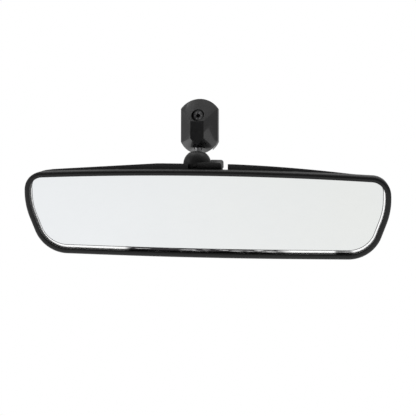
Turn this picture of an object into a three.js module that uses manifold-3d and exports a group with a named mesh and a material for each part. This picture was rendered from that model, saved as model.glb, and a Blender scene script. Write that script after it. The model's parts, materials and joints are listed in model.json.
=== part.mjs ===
// Interior rearview mirror with a windscreen-button mount, a ball joint and a day/night flip.
// Millimetres. X is to the driver's right, Y is towards the windscreen and Z is up. The origin is
// on the mount's back plane, at the mouth of the pocket that slides over the windscreen button.
import * as THREE from "three";
import { ConvexGeometry } from "three/addons/geometries/ConvexGeometry.js";
import { mergeVertices } from "three/addons/utils/BufferGeometryUtils.js";
import Module from "manifold-3d";

const wasm = await Module();
wasm.setup();

const GAP = 0.3; // clearance between neighbouring pieces
const DEGREE = Math.PI / 180;
const ARC_STEPS = 4; // each arc of an outline has twice this many edges

// Windscreen mount: a wedge that tapers from its back outline to a narrow front ridge.
const MOUNT = {
  halfWidth: 13.3,
  topRadius: 16.2,
  topCentre: 2.8,
  bottomRadius: 14.4,
  bottomCentre: -6,
  rimDepth: 5,
  depth: 15.5,
};
const RIDGE = [
  [-4.7, 1.2],
  [-4.8, -10.9],
  [0, -16.4],
  [4.8, -10.9],
  [4.7, 1.2],
];
const POCKET = { mouth: 8.8, floor: 10.2, depth: 4.8, top: 12, length: 37 };
const SET_SCREW = {
  z: 6,
  recess: 4.6,
  floor: 7.6,
  hole: 1,
  head: 4,
  headHeight: 2.5,
  shank: 2,
  length: 2.9,
};

// Ball joint.
const BALL = { centre: new THREE.Vector3(0, -14, -29), radius: 6.35, neck: 2.5, length: 20 };
const NECK_LEAN = 74.05 * DEGREE; // the stud leans back towards the windscreen by the rest of 90
const SEAT = { inner: 6.55, outer: 7.3, halfAngle: 46 * DEGREE };
const SOCKET = { bore: 7.5, dome: 9.8, mouthAngle: 45 * DEGREE, split: 24 };

// The head has its own frame: X right, Y back and Z up from the middle of its front face.
const HEAD_TURN = new THREE.Euler(19.2 * DEGREE, 2 * DEGREE, 0, "ZXY");
const BALL_IN_HEAD = new THREE.Vector3(-8.2, 24, 30.7);

// Corners of the head's right half from the bottom middle to the top middle: x, z, corner radius.
const HEAD_CORNERS = [
  [0, -31.8, 4600],
  [115.6, -30, 24.6],
  [128.4, 5, 50],
  [126.9, 27.7, 13.4],
  [0, 33.5, 2400],
];
const BEZEL = { depth: 10.5, lip: 3.8, lipDepth: 2.2, wall: 1.8, edge: 2, draft: 1 };
// Snap hooks inside the bezel's wall, each a catch with a bridge to the wall.
const HOOK = { x: 60, halfWidth: 4, front: 8.9 };
const TOP_HOOK = { catchAt: [25.4, 26.8], bridge: [25.6, 29.3], back: 15 };
const BOTTOM_HOOK = { catchAt: [-26.4, -25.2], bridge: [-30, -25.4], back: 12 };

// Rear housing: it tapers from the rim behind the bezel to a flat back.
const SHELL = { front: 10.8, step: 12.5, rimInset: 1.2, stepInset: 1.9, wall: 2 };
const CREST = { y: 13, x: 36, top: 33.4, bottom: -29 };
const SHOULDER = { y: 23.5, x: 46, top: 30.8, bottom: -21 };
const BACK_FACE = { y: 25, x: 43, top: 29.6, bottom: -20 };
const NOTCH = { left: -13, right: 15, front: 10, bottom: 26 };
const WINDOW = { left: -18.6, right: 3.8, front: 13, bottom: 6.5 };
const PAST = 40; // further back or up than any part of the head reaches
const POST = { halfWidth: 4, halfHeight: 6, back: 21 };

// Glass: its front face is upright in the head and its back face leans by the wedge.
const GLASS = { inset: 2.1, front: 2.5, back: 6.2, wedge: 2.96 * DEGREE, bevel: 0.8 };
const FILM = { inset: 2.6, thickness: 0.4 };
const PAD = { x: 70, width: 40, height: 10, front: 7.5, back: 11.7 };

// Day/night hinge between the head and the socket bracket, and the lever that works it.
const HINGE = { y: 16.5, z: -14, pin: 1.5, knuckle: 3.4, halfLength: 19 };
const LUG = { inner: 14, outer: 18.5, front: 12, back: 23.2, bottom: -24, top: -10, slot: 1.8 };
const RETAINER = { inner: 13.5, outer: 19, thickness: 1.5, bottom: -23, top: -7 };
const TONGUE = { inner: 14.3, outer: 18.2, overlap: 0.5, halfHeight: 1.5 };
const RETAINER_SCREW = {
  x: 16.25,
  z: -20,
  head: 2.4,
  headHeight: 1.5,
  shank: 1,
  length: 8.4,
  end: 19,
};
const PLATE = { front: 14, back: 16.5, halfWidth: 13, top: 12 };
const RISER_TOP = 20; // the plate's narrow part, between the lever's ears
const BLOCK = { left: -16.2, right: -0.2, bottom: 10, top: 24, back: 29 };
const CLAMP_SCREW = { x: [-13.2, -3.2], z: 15, head: 3.2, headHeight: 2.5, shank: 1.6, length: 13 };
const LEVER = { y: 16, z: 24.5, pin: 1.25, barrel: 3, left: 5.2, right: 11, flip: 20 * DEGREE };
const LEVER_ARM = { front: 13.2, back: 18.5 };
const CAM = { left: 6, right: 10, front: 11.9, back: 14, bottom: 22.6, top: 26 };
const EARS = [
  [2.9, 4.6],
  [11.6, 13.6],
];
const EAR = { front: 12.8, back: 19.2, bottom: 18, top: 27.7 };
const LEVER_PIN_ENDS = [3, 14.5];
const TAB = {
  left: -10.8,
  right: 10.8,
  front: 11.2,
  back: 21.8,
  bottom: 29,
  top: 34.4,
  corner: 1.8,
};
const SPRING = { left: 6, right: 10, bottom: 10, top: 20.7, thickness: 0.5 };
const RIVET = { x: 8, z: 12.5, head: 2, headHeight: 0.9, shank: 1, end: 17.1 };
const SMALL_HOLE = 1.3; // clearance holes for the rivet and the retainer screws

const finishes = {
  glossBlack: { color: 0x0c0c0d, roughness: 0.22, metalness: 0 },
  satinBlack: { color: 0x161617, roughness: 0.42, metalness: 0 },
  grainedGrey: { color: 0x2a2a2c, roughness: 0.7, metalness: 0 },
  steel: { color: 0xb4b6b8, roughness: 0.3, metalness: 1 },
  mirrorGlass: { color: 0xe8eaec, roughness: 0.03, metalness: 0.9 },
  nylon: { color: 0xe4e0d4, roughness: 0.5, metalness: 0 },
  foam: { color: 0x3a3a3c, roughness: 0.95, metalness: 0 },
};

// A closed geometry as a solid that can be joined and cut.
function solid(geometry) {
  const bare = geometry.clone();
  bare.deleteAttribute("normal");
  bare.deleteAttribute("uv");
  const merged = mergeVertices(bare, 1e-4);
  const corners = merged.index.array;
  const triVerts = [];
  for (let i = 0; i < corners.length; i += 3) {
    const [a, b, c] = corners.slice(i, i + 3);
    if (a !== b && b !== c && c !== a) triVerts.push(a, b, c);
  }
  return new wasm.Manifold(
    new wasm.Mesh({
      numProp: 3,
      vertProperties: merged.attributes.position.array,
      triVerts: new Uint32Array(triVerts),
    }),
  );
}

function mesh(name, finish, made) {
  const { vertProperties, triVerts } = made.getMesh();
  const geometry = new THREE.BufferGeometry();
  geometry.setAttribute("position", new THREE.BufferAttribute(vertProperties, 3));
  geometry.setIndex(new THREE.BufferAttribute(triVerts, 1));
  const flat = geometry.toNonIndexed();
  flat.computeVertexNormals();
  const node = new THREE.Mesh(flat, new THREE.MeshStandardMaterial(finishes[finish]));
  node.name = name;
  return node;
}

function block([x0, x1], [y0, y1], [z0, z1]) {
  const geometry = new THREE.BoxGeometry(x1 - x0, y1 - y0, z1 - z0);
  return solid(geometry.translate((x0 + x1) / 2, (y0 + y1) / 2, (z0 + z1) / 2));
}

// A round bar along X, centred on (y, z).
function barX(radius, [x0, x1], y, z, sides = 20) {
  const geometry = new THREE.CylinderGeometry(radius, radius, x1 - x0, sides);
  return solid(geometry.rotateZ(-90 * DEGREE).translate((x0 + x1) / 2, y, z));
}

// A round bar along Y, centred on (x, z).
function barY(radius, [y0, y1], x, z, sides = 20) {
  const geometry = new THREE.CylinderGeometry(radius, radius, y1 - y0, sides);
  return solid(geometry.translate(x, (y0 + y1) / 2, z));
}

function ball(radius, centre, steps = 28) {
  const geometry = new THREE.SphereGeometry(radius, steps, steps / 2);
  return solid(geometry.translate(centre.x, centre.y, centre.z));
}

// A slab between two Y planes whose outline is a shape in X and Z.
function slab(shape, y0, y1) {
  const settings = { depth: y1 - y0, bevelEnabled: false, curveSegments: ARC_STEPS };
  return solid(new THREE.ExtrudeGeometry(shape, settings).rotateX(90 * DEGREE).translate(0, y1, 0));
}

function atDepth(shape, y) {
  return shape.getPoints(ARC_STEPS).map((point) => new THREE.Vector3(point.x, y, point.y));
}

function join(first, ...others) {
  return others.reduce((sum, other) => sum.add(other), first);
}

function cut(body, ...tools) {
  return tools.reduce((rest, tool) => rest.subtract(tool), body);
}

// A cap-head screw along Y: the head is at headY on the -Y side and the shank runs to +Y.
function screwAlongY({ x, z, headY, headHeight, head, shank, length }) {
  const top = headY + headHeight;
  const cap = barY(head, [headY, top], x, z);
  const slotted = cut(
    cap,
    block([x - head * 0.55, x + head * 0.55], [headY - 1, headY + headHeight * 0.5], [z - 0.4, z + 0.4]),
    block([x - 0.4, x + 0.4], [headY - 1, headY + headHeight * 0.5], [z - head * 0.55, z + head * 0.55]),
  );
  return join(slotted, barY(shank, [top - 0.2, top + length], x, z, 16));
}

// Windscreen mount ---------------------------------------------------------------------------

function mountOutline() {
  const { halfWidth, topRadius, topCentre, bottomRadius, bottomCentre } = MOUNT;
  const topStart = Math.acos(halfWidth / topRadius);
  const bottomStart = Math.acos(halfWidth / bottomRadius);
  const shape = new THREE.Shape();
  shape.absarc(0, topCentre, topRadius, topStart, Math.PI - topStart, false);
  shape.absarc(0, bottomCentre, bottomRadius, Math.PI + bottomStart, 2 * Math.PI - bottomStart, false);
  shape.closePath();
  return shape;
}

function buttonPocket() {
  const { mouth, floor, depth, top, length } = POCKET;
  const shape = new THREE.Shape();
  const outside = 0.5;
  const outerHalf = mouth - ((floor - mouth) * outside) / depth;
  shape.moveTo(-outerHalf, outside);
  shape.lineTo(-floor, -depth);
  shape.lineTo(floor, -depth);
  shape.lineTo(outerHalf, outside);
  shape.closePath();
  const geometry = new THREE.ExtrudeGeometry(shape, { depth: length, bevelEnabled: false });
  return solid(geometry.translate(0, 0, top - length));
}

// A bar along the stud's own axis, from the ball's centre upwards.
function studBar(radius, length) {
  const geometry = new THREE.CylinderGeometry(radius, radius, length, 20);
  geometry.translate(0, length / 2, 0).rotateX(NECK_LEAN);
  return solid(geometry.translate(...BALL.centre.toArray()));
}

function mountBody() {
  const ridge = RIDGE.map(([x, z]) => new THREE.Vector3(x, -MOUNT.depth, z));
  const outline = mountOutline();
  const points = [...atDepth(outline, 0), ...atDepth(outline, -MOUNT.rimDepth), ...ridge];
  const { z, recess, floor, hole, shank } = SET_SCREW;
  return cut(
    solid(new ConvexGeometry(points)),
    buttonPocket(),
    barY(recess, [-MOUNT.depth - 1, -floor], 0, z, 28),
    barY(shank + GAP, [-floor - hole, -hole], 0, z),
    studBar(BALL.neck + GAP, BALL.length + GAP),
  );
}

function buttonScrew() {
  const headY = -SET_SCREW.floor - GAP - SET_SCREW.headHeight;
  return screwAlongY({ x: 0, headY, ...SET_SCREW });
}

function ballStud() {
  const { radius, neck, length, centre } = BALL;
  const neckAngle = Math.asin(neck / radius);
  const steps = 12;
  const profile = [];
  for (let i = 0; i <= steps; i++) {
    const angle = Math.PI - ((Math.PI - neckAngle) * i) / steps;
    profile.push(new THREE.Vector2(radius * Math.sin(angle), radius * Math.cos(angle)));
  }
  profile[0].x = 0;
  profile.push(new THREE.Vector2(neck, length), new THREE.Vector2(0, length));
  const geometry = new THREE.LatheGeometry(profile, 24).rotateX(NECK_LEAN);
  return solid(geometry.translate(...centre.toArray()));
}

// Ball seats: spherical caps that line the socket, one in front of the ball and one behind it.
function ballSeat(towards) {
  const { inner, outer, halfAngle } = SEAT;
  const steps = 6;
  const profile = [];
  for (let i = 0; i <= steps; i++) {
    const angle = (halfAngle * i) / steps;
    profile.push(new THREE.Vector2(inner * Math.sin(angle), inner * Math.cos(angle)));
  }
  for (let i = steps; i >= 0; i--) {
    const angle = (halfAngle * i) / steps;
    profile.push(new THREE.Vector2(outer * Math.sin(angle), outer * Math.cos(angle)));
  }
  const turn = new THREE.Quaternion().setFromUnitVectors(new THREE.Vector3(0, 1, 0), towards);
  const geometry = new THREE.LatheGeometry(profile, 24).applyQuaternion(turn);
  return solid(geometry.translate(...BALL_IN_HEAD.toArray()));
}

// Head -----------------------------------------------------------------------------------------

// The head's outline, moved inwards by inset. Each corner is an arc tangent to both its sides.
function headOutline(inset) {
  const right = HEAD_CORNERS.slice(1, -1);
  const left = right.map(([x, z, radius]) => [-x, z, radius]).reverse();
  const ring = [HEAD_CORNERS[0], ...right, HEAD_CORNERS.at(-1), ...left];
  const shape = new THREE.Shape();
  ring.forEach(([x, z, radius], i) => {
    const before = ring.at(i - 1);
    const after = ring[(i + 1) % ring.length];
    const arriving = new THREE.Vector2(x - before[0], z - before[1]).normalize();
    const leaving = new THREE.Vector2(after[0] - x, after[1] - z).normalize();
    const inwards = new THREE.Vector2(-arriving.y - leaving.y, arriving.x + leaving.x);
    inwards.multiplyScalar(radius / (1 + arriving.dot(leaving)));
    const start = Math.atan2(-arriving.x, arriving.y);
    const end = Math.atan2(-leaving.x, leaving.y);
    shape.absarc(x + inwards.x, z + inwards.y, radius - inset, start, end, false);
  });
  shape.closePath();
  return shape;
}

function hook(x, { catchAt, bridge, back }) {
  const across = [x - HOOK.halfWidth, x + HOOK.halfWidth];
  return join(
    block(across, [HOOK.front, back], catchAt),
    block(across, [HOOK.front, BEZEL.depth], bridge),
  );
}

function frontBezel() {
  const { depth, lip, lipDepth, wall, edge, draft } = BEZEL;
  const points = atDepth(headOutline(draft), depth);
  for (const angle of [0, 30, 60, 90]) {
    const inset = edge * (1 - Math.sin(angle * DEGREE));
    points.push(...atDepth(headOutline(inset), edge * (1 - Math.cos(angle * DEGREE))));
  }
  const ring = cut(
    solid(new ConvexGeometry(points)),
    slab(headOutline(lip), -1, lipDepth + 1),
    slab(headOutline(wall), lipDepth, depth + 1),
  );
  const hooks = [-HOOK.x, HOOK.x].flatMap((x) => [hook(x, TOP_HOOK), hook(x, BOTTOM_HOOK)]);
  return join(ring, ...hooks);
}

// The rear housing's outer surface, and its inner surface when the wall is taken off.
function housingHull(wall) {
  const { front, step, rimInset, stepInset } = SHELL;
  const points = [
    ...atDepth(headOutline(rimInset + wall), front - wall / 2),
    ...atDepth(headOutline(stepInset + wall), step),
  ];
  for (const { y, x, top, bottom } of [CREST, SHOULDER, BACK_FACE])
    for (const side of [-1, 1])
      for (const z of [top - wall, bottom + wall])
        points.push(new THREE.Vector3(side * (x - wall), y - wall, z));
  return solid(new ConvexGeometry(points));
}

// A span between two distances from the middle, on one side of it.
function onSide(side, inner, outer) {
  return [side * inner, side * outer].sort((a, b) => a - b);
}

function housingLug(side) {
  const across = onSide(side, LUG.inner, LUG.outer);
  const past = onSide(side, LUG.inner - 1, LUG.outer + 1);
  const holeAt = side * RETAINER_SCREW.x;
  return cut(
    block(across, [LUG.front, LUG.back], [LUG.bottom, LUG.top]),
    barX(HINGE.pin + GAP, past, HINGE.y, HINGE.z),
    block(past, [0, HINGE.y], [HINGE.z - LUG.slot, HINGE.z + LUG.slot]),
    barY(SMALL_HOLE, [LUG.front - 1, RETAINER_SCREW.end], holeAt, RETAINER_SCREW.z, 12),
  );
}

function padPost(side) {
  const { halfWidth, halfHeight, back } = POST;
  const across = onSide(side, PAD.x - halfWidth, PAD.x + halfWidth);
  return block(across, [PAD.back + GAP, back], [-halfHeight, halfHeight]);
}

function rearHousing() {
  const outer = housingHull(0);
  const shell = cut(outer, housingHull(SHELL.wall));
  const fittings = [-1, 1].flatMap((side) => [housingLug(side), padPost(side)]);
  const fitted = join(shell, ...fittings.map((fitting) => fitting.intersect(outer)));
  return cut(
    fitted,
    ...[NOTCH, WINDOW].map(({ left, right, front, bottom }) =>
      block([left, right], [front, PAST], [bottom, PAST]),
    ),
  );
}

// The wedge between two planes, each given as its Y at z = 0 and its slope along Z.
function wedgeBetween(shape, front, back) {
  const reach = 60;
  const corners = [];
  for (const [y, slope] of [front, back])
    for (const z of [-reach, reach])
      for (const x of [-200, 200]) corners.push(new THREE.Vector3(x, y + slope * z, z));
  return slab(shape, -10, 30).intersect(solid(new ConvexGeometry(corners)));
}

function prismGlass() {
  const { inset, front, back, wedge, bevel } = GLASS;
  const slope = Math.tan(wedge);
  const flat = wedgeBetween(headOutline(inset), [front, 0], [back, slope]);
  const bevelled = [
    ...atDepth(headOutline(inset + bevel), front),
    ...atDepth(headOutline(inset), front + bevel),
    ...atDepth(headOutline(inset), 12),
  ];
  return flat.intersect(solid(new ConvexGeometry(bevelled)));
}

function silverBackingFilm() {
  const slope = Math.tan(GLASS.wedge);
  const front = GLASS.back + GAP;
  return wedgeBetween(headOutline(FILM.inset), [front, slope], [front + FILM.thickness, slope]);
}

function foamPad(side) {
  const middle = side * PAD.x;
  const half = PAD.height / 2;
  return block([middle - PAD.width / 2, middle + PAD.width / 2], [PAD.front, PAD.back], [-half, half]);
}

function hingePin() {
  return barX(HINGE.pin, [-HINGE.halfLength, HINGE.halfLength], HINGE.y, HINGE.z, 20);
}

function pinRetainer(side) {
  const { inner, outer, thickness, bottom, top } = RETAINER;
  const { overlap, halfHeight } = TONGUE;
  const face = LUG.front - GAP;
  const tongueEnd = HINGE.y - HINGE.pin - GAP;
  const tongueAt = [HINGE.z - halfHeight, HINGE.z + halfHeight];
  const holeAt = side * RETAINER_SCREW.x;
  return cut(
    join(
      block(onSide(side, inner, outer), [face - thickness, face], [bottom, top]),
      block(onSide(side, TONGUE.inner, TONGUE.outer), [face - overlap, tongueEnd], tongueAt),
    ),
    barY(SMALL_HOLE, [face - thickness - 1, face + 1], holeAt, RETAINER_SCREW.z, 12),
  );
}

function retainerScrew(side) {
  const headY = LUG.front - GAP - RETAINER.thickness - GAP - RETAINER_SCREW.headHeight;
  return screwAlongY({ ...RETAINER_SCREW, headY, x: side * RETAINER_SCREW.x });
}

// Socket bracket and clamp: the halves of the ball socket, carried on the day/night hinge. -----

// The cone that keeps the socket's mouth clear of the stud's neck.
function socketMouth() {
  const reach = 16;
  const width = reach * Math.tan(SOCKET.mouthAngle);
  const upwards = new THREE.Vector3(0, Math.cos(NECK_LEAN), Math.sin(NECK_LEAN));
  const turnToHead = new THREE.Quaternion().setFromEuler(HEAD_TURN).invert();
  upwards.applyQuaternion(turnToHead);
  const turn = new THREE.Quaternion().setFromUnitVectors(new THREE.Vector3(0, 1, 0), upwards);
  const geometry = new THREE.ConeGeometry(width, reach, 28).rotateX(180 * DEGREE);
  geometry.translate(0, reach / 2, 0).applyQuaternion(turn);
  return solid(geometry.translate(...BALL_IN_HEAD.toArray()));
}

function clampScrewHoles() {
  const { x, z, shank } = CLAMP_SCREW;
  return join(...x.map((at) => barY(shank + GAP, [PLATE.front + 1, PAST], at, z, 16)));
}

// The half of the socket's dome between two depths in the head.
function halfDome(front, back) {
  return ball(SOCKET.dome, BALL_IN_HEAD).intersect(block([-PAST, PAST], [front, back], [0, 2 * PAST]));
}

function socketBracket() {
  const { front, back, halfWidth, top } = PLATE;
  const body = join(
    block([-halfWidth, halfWidth], [front, back], [HINGE.z, top]),
    block([EARS[0][0], EARS[1][1]], [front, back], [top - 1, RISER_TOP]),
    barX(HINGE.knuckle, [-halfWidth, halfWidth], HINGE.y, HINGE.z, 24),
    block([BLOCK.left, BLOCK.right], [front, SOCKET.split], [BLOCK.bottom, BLOCK.top]),
    halfDome(0, SOCKET.split),
    ...EARS.map((across) => block(across, [EAR.front, EAR.back], [EAR.bottom, EAR.top])),
  );
  return cut(
    body,
    ball(SOCKET.bore, BALL_IN_HEAD),
    socketMouth(),
    clampScrewHoles(),
    barX(HINGE.pin + GAP, [-PAST, PAST], HINGE.y, HINGE.z),
    barX(LEVER.pin + GAP, [EARS[0][0] - 1, EARS[1][1] + 1], LEVER.y, LEVER.z, 16),
    barY(SMALL_HOLE, [front - 1, back + 1], RIVET.x, RIVET.z, 12),
  );
}

function socketClamp() {
  const front = SOCKET.split + GAP;
  const body = join(
    block([BLOCK.left, BLOCK.right], [front, BLOCK.back], [BLOCK.bottom, BLOCK.top]),
    halfDome(front, 2 * PAST),
  );
  return cut(body, ball(SOCKET.bore, BALL_IN_HEAD), socketMouth(), clampScrewHoles());
}

function clampScrew(x) {
  const { z, headHeight } = CLAMP_SCREW;
  const turned = screwAlongY({ ...CLAMP_SCREW, x: 0, z: 0, headY: 0 });
  return turned.rotate([180, 0, 0]).translate([x, BLOCK.back + GAP + headHeight, z]);
}

function leverPin() {
  return barX(LEVER.pin, LEVER_PIN_ENDS, LEVER.y, LEVER.z, 16);
}

function detentSpring() {
  const { left, right, bottom, top, thickness } = SPRING;
  const face = PLATE.front - GAP;
  return cut(
    block([left, right], [face - thickness, face], [bottom, top]),
    barY(SMALL_HOLE, [face - thickness - 1, face + 1], RIVET.x, RIVET.z, 12),
  );
}

function springRivet() {
  const { x, z, head, headHeight, shank, end } = RIVET;
  const face = PLATE.front - GAP - SPRING.thickness - GAP;
  return join(
    barY(head, [face - headHeight, face], x, z, 16),
    barY(shank, [face - headHeight / 2, end], x, z, 12),
  );
}

// The space that the socket's dome takes up, seen from the lever as the lever flips.
function domeSweep() {
  const points = [];
  const pivot = new THREE.Vector3(0, LEVER.y, LEVER.z);
  for (const share of [0, 0.5, 1]) {
    const arm = BALL_IN_HEAD.clone().sub(pivot);
    const centre = arm.applyAxisAngle(new THREE.Vector3(1, 0, 0), LEVER.flip * share).add(pivot);
    const sphere = new THREE.SphereGeometry(SOCKET.dome + 0.7, 24, 16).attributes.position;
    for (let i = 0; i < sphere.count; i++)
      points.push(new THREE.Vector3().fromBufferAttribute(sphere, i).add(centre));
  }
  return solid(new ConvexGeometry(points));
}

function dayNightLever() {
  const { left, right, front, back, bottom, top, corner } = TAB;
  const shape = new THREE.Shape();
  shape.moveTo(left, bottom);
  shape.lineTo(right, bottom);
  shape.lineTo(right, top - corner);
  shape.absarc(right - corner, top - corner, corner, 0, Math.PI / 2, false);
  shape.lineTo(left, top);
  shape.closePath();
  const tab = cut(slab(shape, front, back), domeSweep());
  return cut(
    join(
      tab,
      block([LEVER.left, LEVER.right], [LEVER_ARM.front, LEVER_ARM.back], [LEVER.z, bottom + 1]),
      barX(LEVER.barrel, [LEVER.left, LEVER.right], LEVER.y, LEVER.z, 24),
      block([CAM.left, CAM.right], [CAM.front, CAM.back], [CAM.bottom, CAM.top]),
    ),
    barX(LEVER.pin + GAP, [LEVER.left - 1, LEVER.right + 1], LEVER.y, LEVER.z, 16),
  );
}

// Assembly -------------------------------------------------------------------------------------

function windscreenMount() {
  const group = new THREE.Group();
  group.add(
    mesh("mount_body", "glossBlack", mountBody()),
    mesh("button_screw", "steel", buttonScrew()),
    mesh("ball_stud", "steel", ballStud()),
  );
  return group;
}

function headAssembly() {
  const group = new THREE.Group();
  group.rotation.copy(HEAD_TURN);
  group.position.copy(BALL.centre).sub(BALL_IN_HEAD.clone().applyEuler(HEAD_TURN));
  group.add(
    mesh("ball_seat_front", "nylon", ballSeat(new THREE.Vector3(0, -1, -0.3).normalize())),
    mesh("ball_seat_rear", "nylon", ballSeat(new THREE.Vector3(0, 1, -0.9).normalize())),
    mesh("socket_bracket", "satinBlack", socketBracket()),
    mesh("socket_clamp", "satinBlack", socketClamp()),
    mesh("lever_pin", "steel", leverPin()),
    mesh("detent_spring", "steel", detentSpring()),
    mesh("spring_rivet", "steel", springRivet()),
    mesh("day_night_lever", "satinBlack", dayNightLever()),
    mesh("front_bezel", "satinBlack", frontBezel()),
    mesh("rear_housing", "grainedGrey", rearHousing()),
    mesh("prism_glass", "mirrorGlass", prismGlass()),
    mesh("silver_backing_film", "mirrorGlass", silverBackingFilm()),
    mesh("hinge_pin", "steel", hingePin()),
  );
  for (const [side, label] of [
    [-1, "left"],
    [1, "right"],
  ]) {
    group.add(
      mesh(`clamp_screw_${label}`, "steel", clampScrew(CLAMP_SCREW.x[side > 0 ? 1 : 0])),
      mesh(`foam_pad_${label}`, "foam", foamPad(side)),
      mesh(`pin_retainer_${label}`, "satinBlack", pinRetainer(side)),
      mesh(`retainer_screw_${label}`, "steel", retainerScrew(side)),
    );
  }
  return group;
}

const mirror = new THREE.Group();
mirror.add(windscreenMount(), headAssembly());

export default mirror;
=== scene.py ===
import json
import math

import bmesh
import bpy
from bpy.props import FloatProperty, FloatVectorProperty, PointerProperty
from mathutils import Matrix, Vector


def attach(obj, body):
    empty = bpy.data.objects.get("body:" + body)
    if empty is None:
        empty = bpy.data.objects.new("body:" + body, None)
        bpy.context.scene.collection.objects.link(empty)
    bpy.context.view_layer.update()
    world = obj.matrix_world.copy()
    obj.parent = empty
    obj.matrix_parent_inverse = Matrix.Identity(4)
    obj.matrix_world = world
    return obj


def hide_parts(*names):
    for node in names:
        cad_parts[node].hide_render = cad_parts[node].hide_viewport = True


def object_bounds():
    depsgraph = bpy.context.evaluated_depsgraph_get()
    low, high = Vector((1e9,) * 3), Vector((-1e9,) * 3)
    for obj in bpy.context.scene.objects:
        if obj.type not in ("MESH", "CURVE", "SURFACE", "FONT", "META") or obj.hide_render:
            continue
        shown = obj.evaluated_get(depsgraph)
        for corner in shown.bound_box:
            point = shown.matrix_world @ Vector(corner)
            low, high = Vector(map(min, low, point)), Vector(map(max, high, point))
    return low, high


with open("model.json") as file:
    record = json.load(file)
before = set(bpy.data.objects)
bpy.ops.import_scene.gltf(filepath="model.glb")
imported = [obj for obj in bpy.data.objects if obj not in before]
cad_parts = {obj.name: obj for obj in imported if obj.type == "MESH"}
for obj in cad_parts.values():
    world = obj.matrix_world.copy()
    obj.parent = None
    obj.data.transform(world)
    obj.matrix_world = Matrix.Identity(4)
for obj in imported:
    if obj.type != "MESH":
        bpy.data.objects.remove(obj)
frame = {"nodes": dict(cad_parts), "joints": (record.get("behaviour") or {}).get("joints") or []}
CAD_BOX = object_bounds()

bl_info = {
    "name": "Rearview Mirror",
    "version": (1, 0, 0),
    "blender": (4, 5, 0),
    "location": "3D View > Sidebar > Mirror",
    "description": "Builds the visible pieces of an interior rearview mirror around its frame",
    "category": "Add Mesh",
}

MM = 0.001
JOINTS = {joint["name"]: joint for joint in frame["joints"]}
BALL_CENTRE = Vector(JOINTS["ball_yaw"]["pos_m"])
AT_ORIGIN = Matrix.Identity(4)

# The head's own frame: X right, Y back and Z up from the middle of its front face.
HEAD_TURN = Matrix.Rotation(math.radians(19.2), 4, "X") @ Matrix.Rotation(math.radians(2), 4, "Y")
BALL_IN_HEAD = Vector((-8.2, 24, 30.7)) * MM
HEAD = Matrix.Translation(BALL_CENTRE - HEAD_TURN @ BALL_IN_HEAD) @ HEAD_TURN

# The stud leans back towards the windscreen, away from straight up.
STUD_LEAN = math.radians(15.95)
STUD = Matrix.Translation(BALL_CENTRE) @ Matrix.Rotation(-STUD_LEAN, 4, "X")

# Corners of a closed outline's right half, from the bottom middle to the top middle, in
# millimetres: x, z, corner radius, steps along the corner's arc.
HEAD_CORNERS = (
    (0, -31.8, 4600, 24),
    (115.6, -30, 24.6, 28),
    (128.4, 5, 50, 12),
    (126.9, 27.7, 13.4, 22),
    (0, 33.5, 2400, 56),
)
# The flat of the rear housing's back. Its sides run parallel to the head's.
BACK_CORNERS = (
    (0, -21.2, 2400, 24),
    (37, -20.9, 11, 28),
    (46.6, 5, 24, 12),
    (46, 29.5, 7, 22),
    (0, 31.2, 900, 56),
)
# The rear housing rises behind the bezel to a crest, level in its middle and falling to each end.
CREST_TOP = 33.2
LEFT_CREST = {"level": 34, "fall": 0.068, "droop": 0}
RIGHT_CREST = {"level": 18, "fall": 0.03, "droop": 0.00048}

# Where the crest has faded out towards each end of the head, and over what distance.
CREST_END = 121
CREST_FADE = 9

# Fixed sizes in millimetres. Places are (x, y, z) or (y, z) in the head's frame.
FAR = 40  # past any part of the head
RIDGE = ((-4.7, 1.2), (4.7, 1.2), (-4.8, -10.9), (4.8, -10.9), (0, -16.4))
POCKET = ((-8.65, 0.5), (-10.2, -4.8), (10.2, -4.8), (8.65, 0.5))
POCKET_ENDS = (-25, 12)
SCREW_Z = 6  # of the set screw, in the mount's frame
RECESS = {"radius": 4.6, "floor": -7.6}
SCREW_HOLE = {"radius": 2.3, "from": -8.6, "to": -1}
HINGE_AT = (16.5, -14)
HINGE_BORE = 1.8
KNUCKLE = 3.4
LEVER_AT = (16, 24.5)
LEVER_BORE = 1.55
LEVER_FLIP = math.radians(20)
BLOCK_LEFT, BLOCK_RIGHT, BLOCK_LOW, BLOCK_TOP, BLOCK_BACK = -16.2, -0.2, 10, 24, 29
PLATE_FRONT, PLATE_BACK, PLATE_SIDE = 14.02, 16.48, 13
EARS = {"ear_left": (2.9, 4.6), "ear_right": (11.6, 13.6)}
EAR = {"front": 12.8, "back": 19.2, "bottom": 18, "top": 27.7}
SPLIT = (24, 24.3)  # the socket's halves end and begin at these depths
CLAMP_SCREWS = {"left": -13.2, "right": -3.2}
CLAMP_SCREW_Z = 15
CLAMP_HOLE = 1.9
TAB_FRONT, TAB_BACK = 11.2, 21.8
DOME_CLEARANCE = 0.7
HOOK_X, HOOK_HALF, HOOK_FRONT = 60, 4, 8.9
LUG_X, LUG_FRONT, LUG_BACK, LUG_LOW, LUG_TOP = (14, 18.5), 12, 22.4, -21, -10
LUG_SLOT = (-15.8, -12.2)
RETAINER_HOLE = {"x": 16.25, "z": -20, "radius": 1.3}
POST_X, POST_HALF, POST_SPAN, POST_HEIGHT = 70, 4, (12, 19.2), 6
NOTCH_X, NOTCH_FRONT, NOTCH_LOW = (-13, 15), 9, 26
WINDOW_X, WINDOW_FRONT, WINDOW_LOW = (-18.6, 3.8), 13.7, 6.5
PAD_X, PAD_HALF_WIDTH, PAD_SPAN, PAD_HALF_HEIGHT = 70, 19.6, (7.6, 11.6), 4.6
GLASS_FRONT, GLASS_BACK, GLASS_INSET, BEVEL_INSET = 2.5, 6.2, 2.1, 2.5
WEDGE = math.radians(2.96)


# Property groups ------------------------------------------------------------------------------


def length(name, description, millimetres):
    return FloatProperty(
        name=name, description=description, default=millimetres * MM, unit="LENGTH", precision=5
    )


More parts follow.
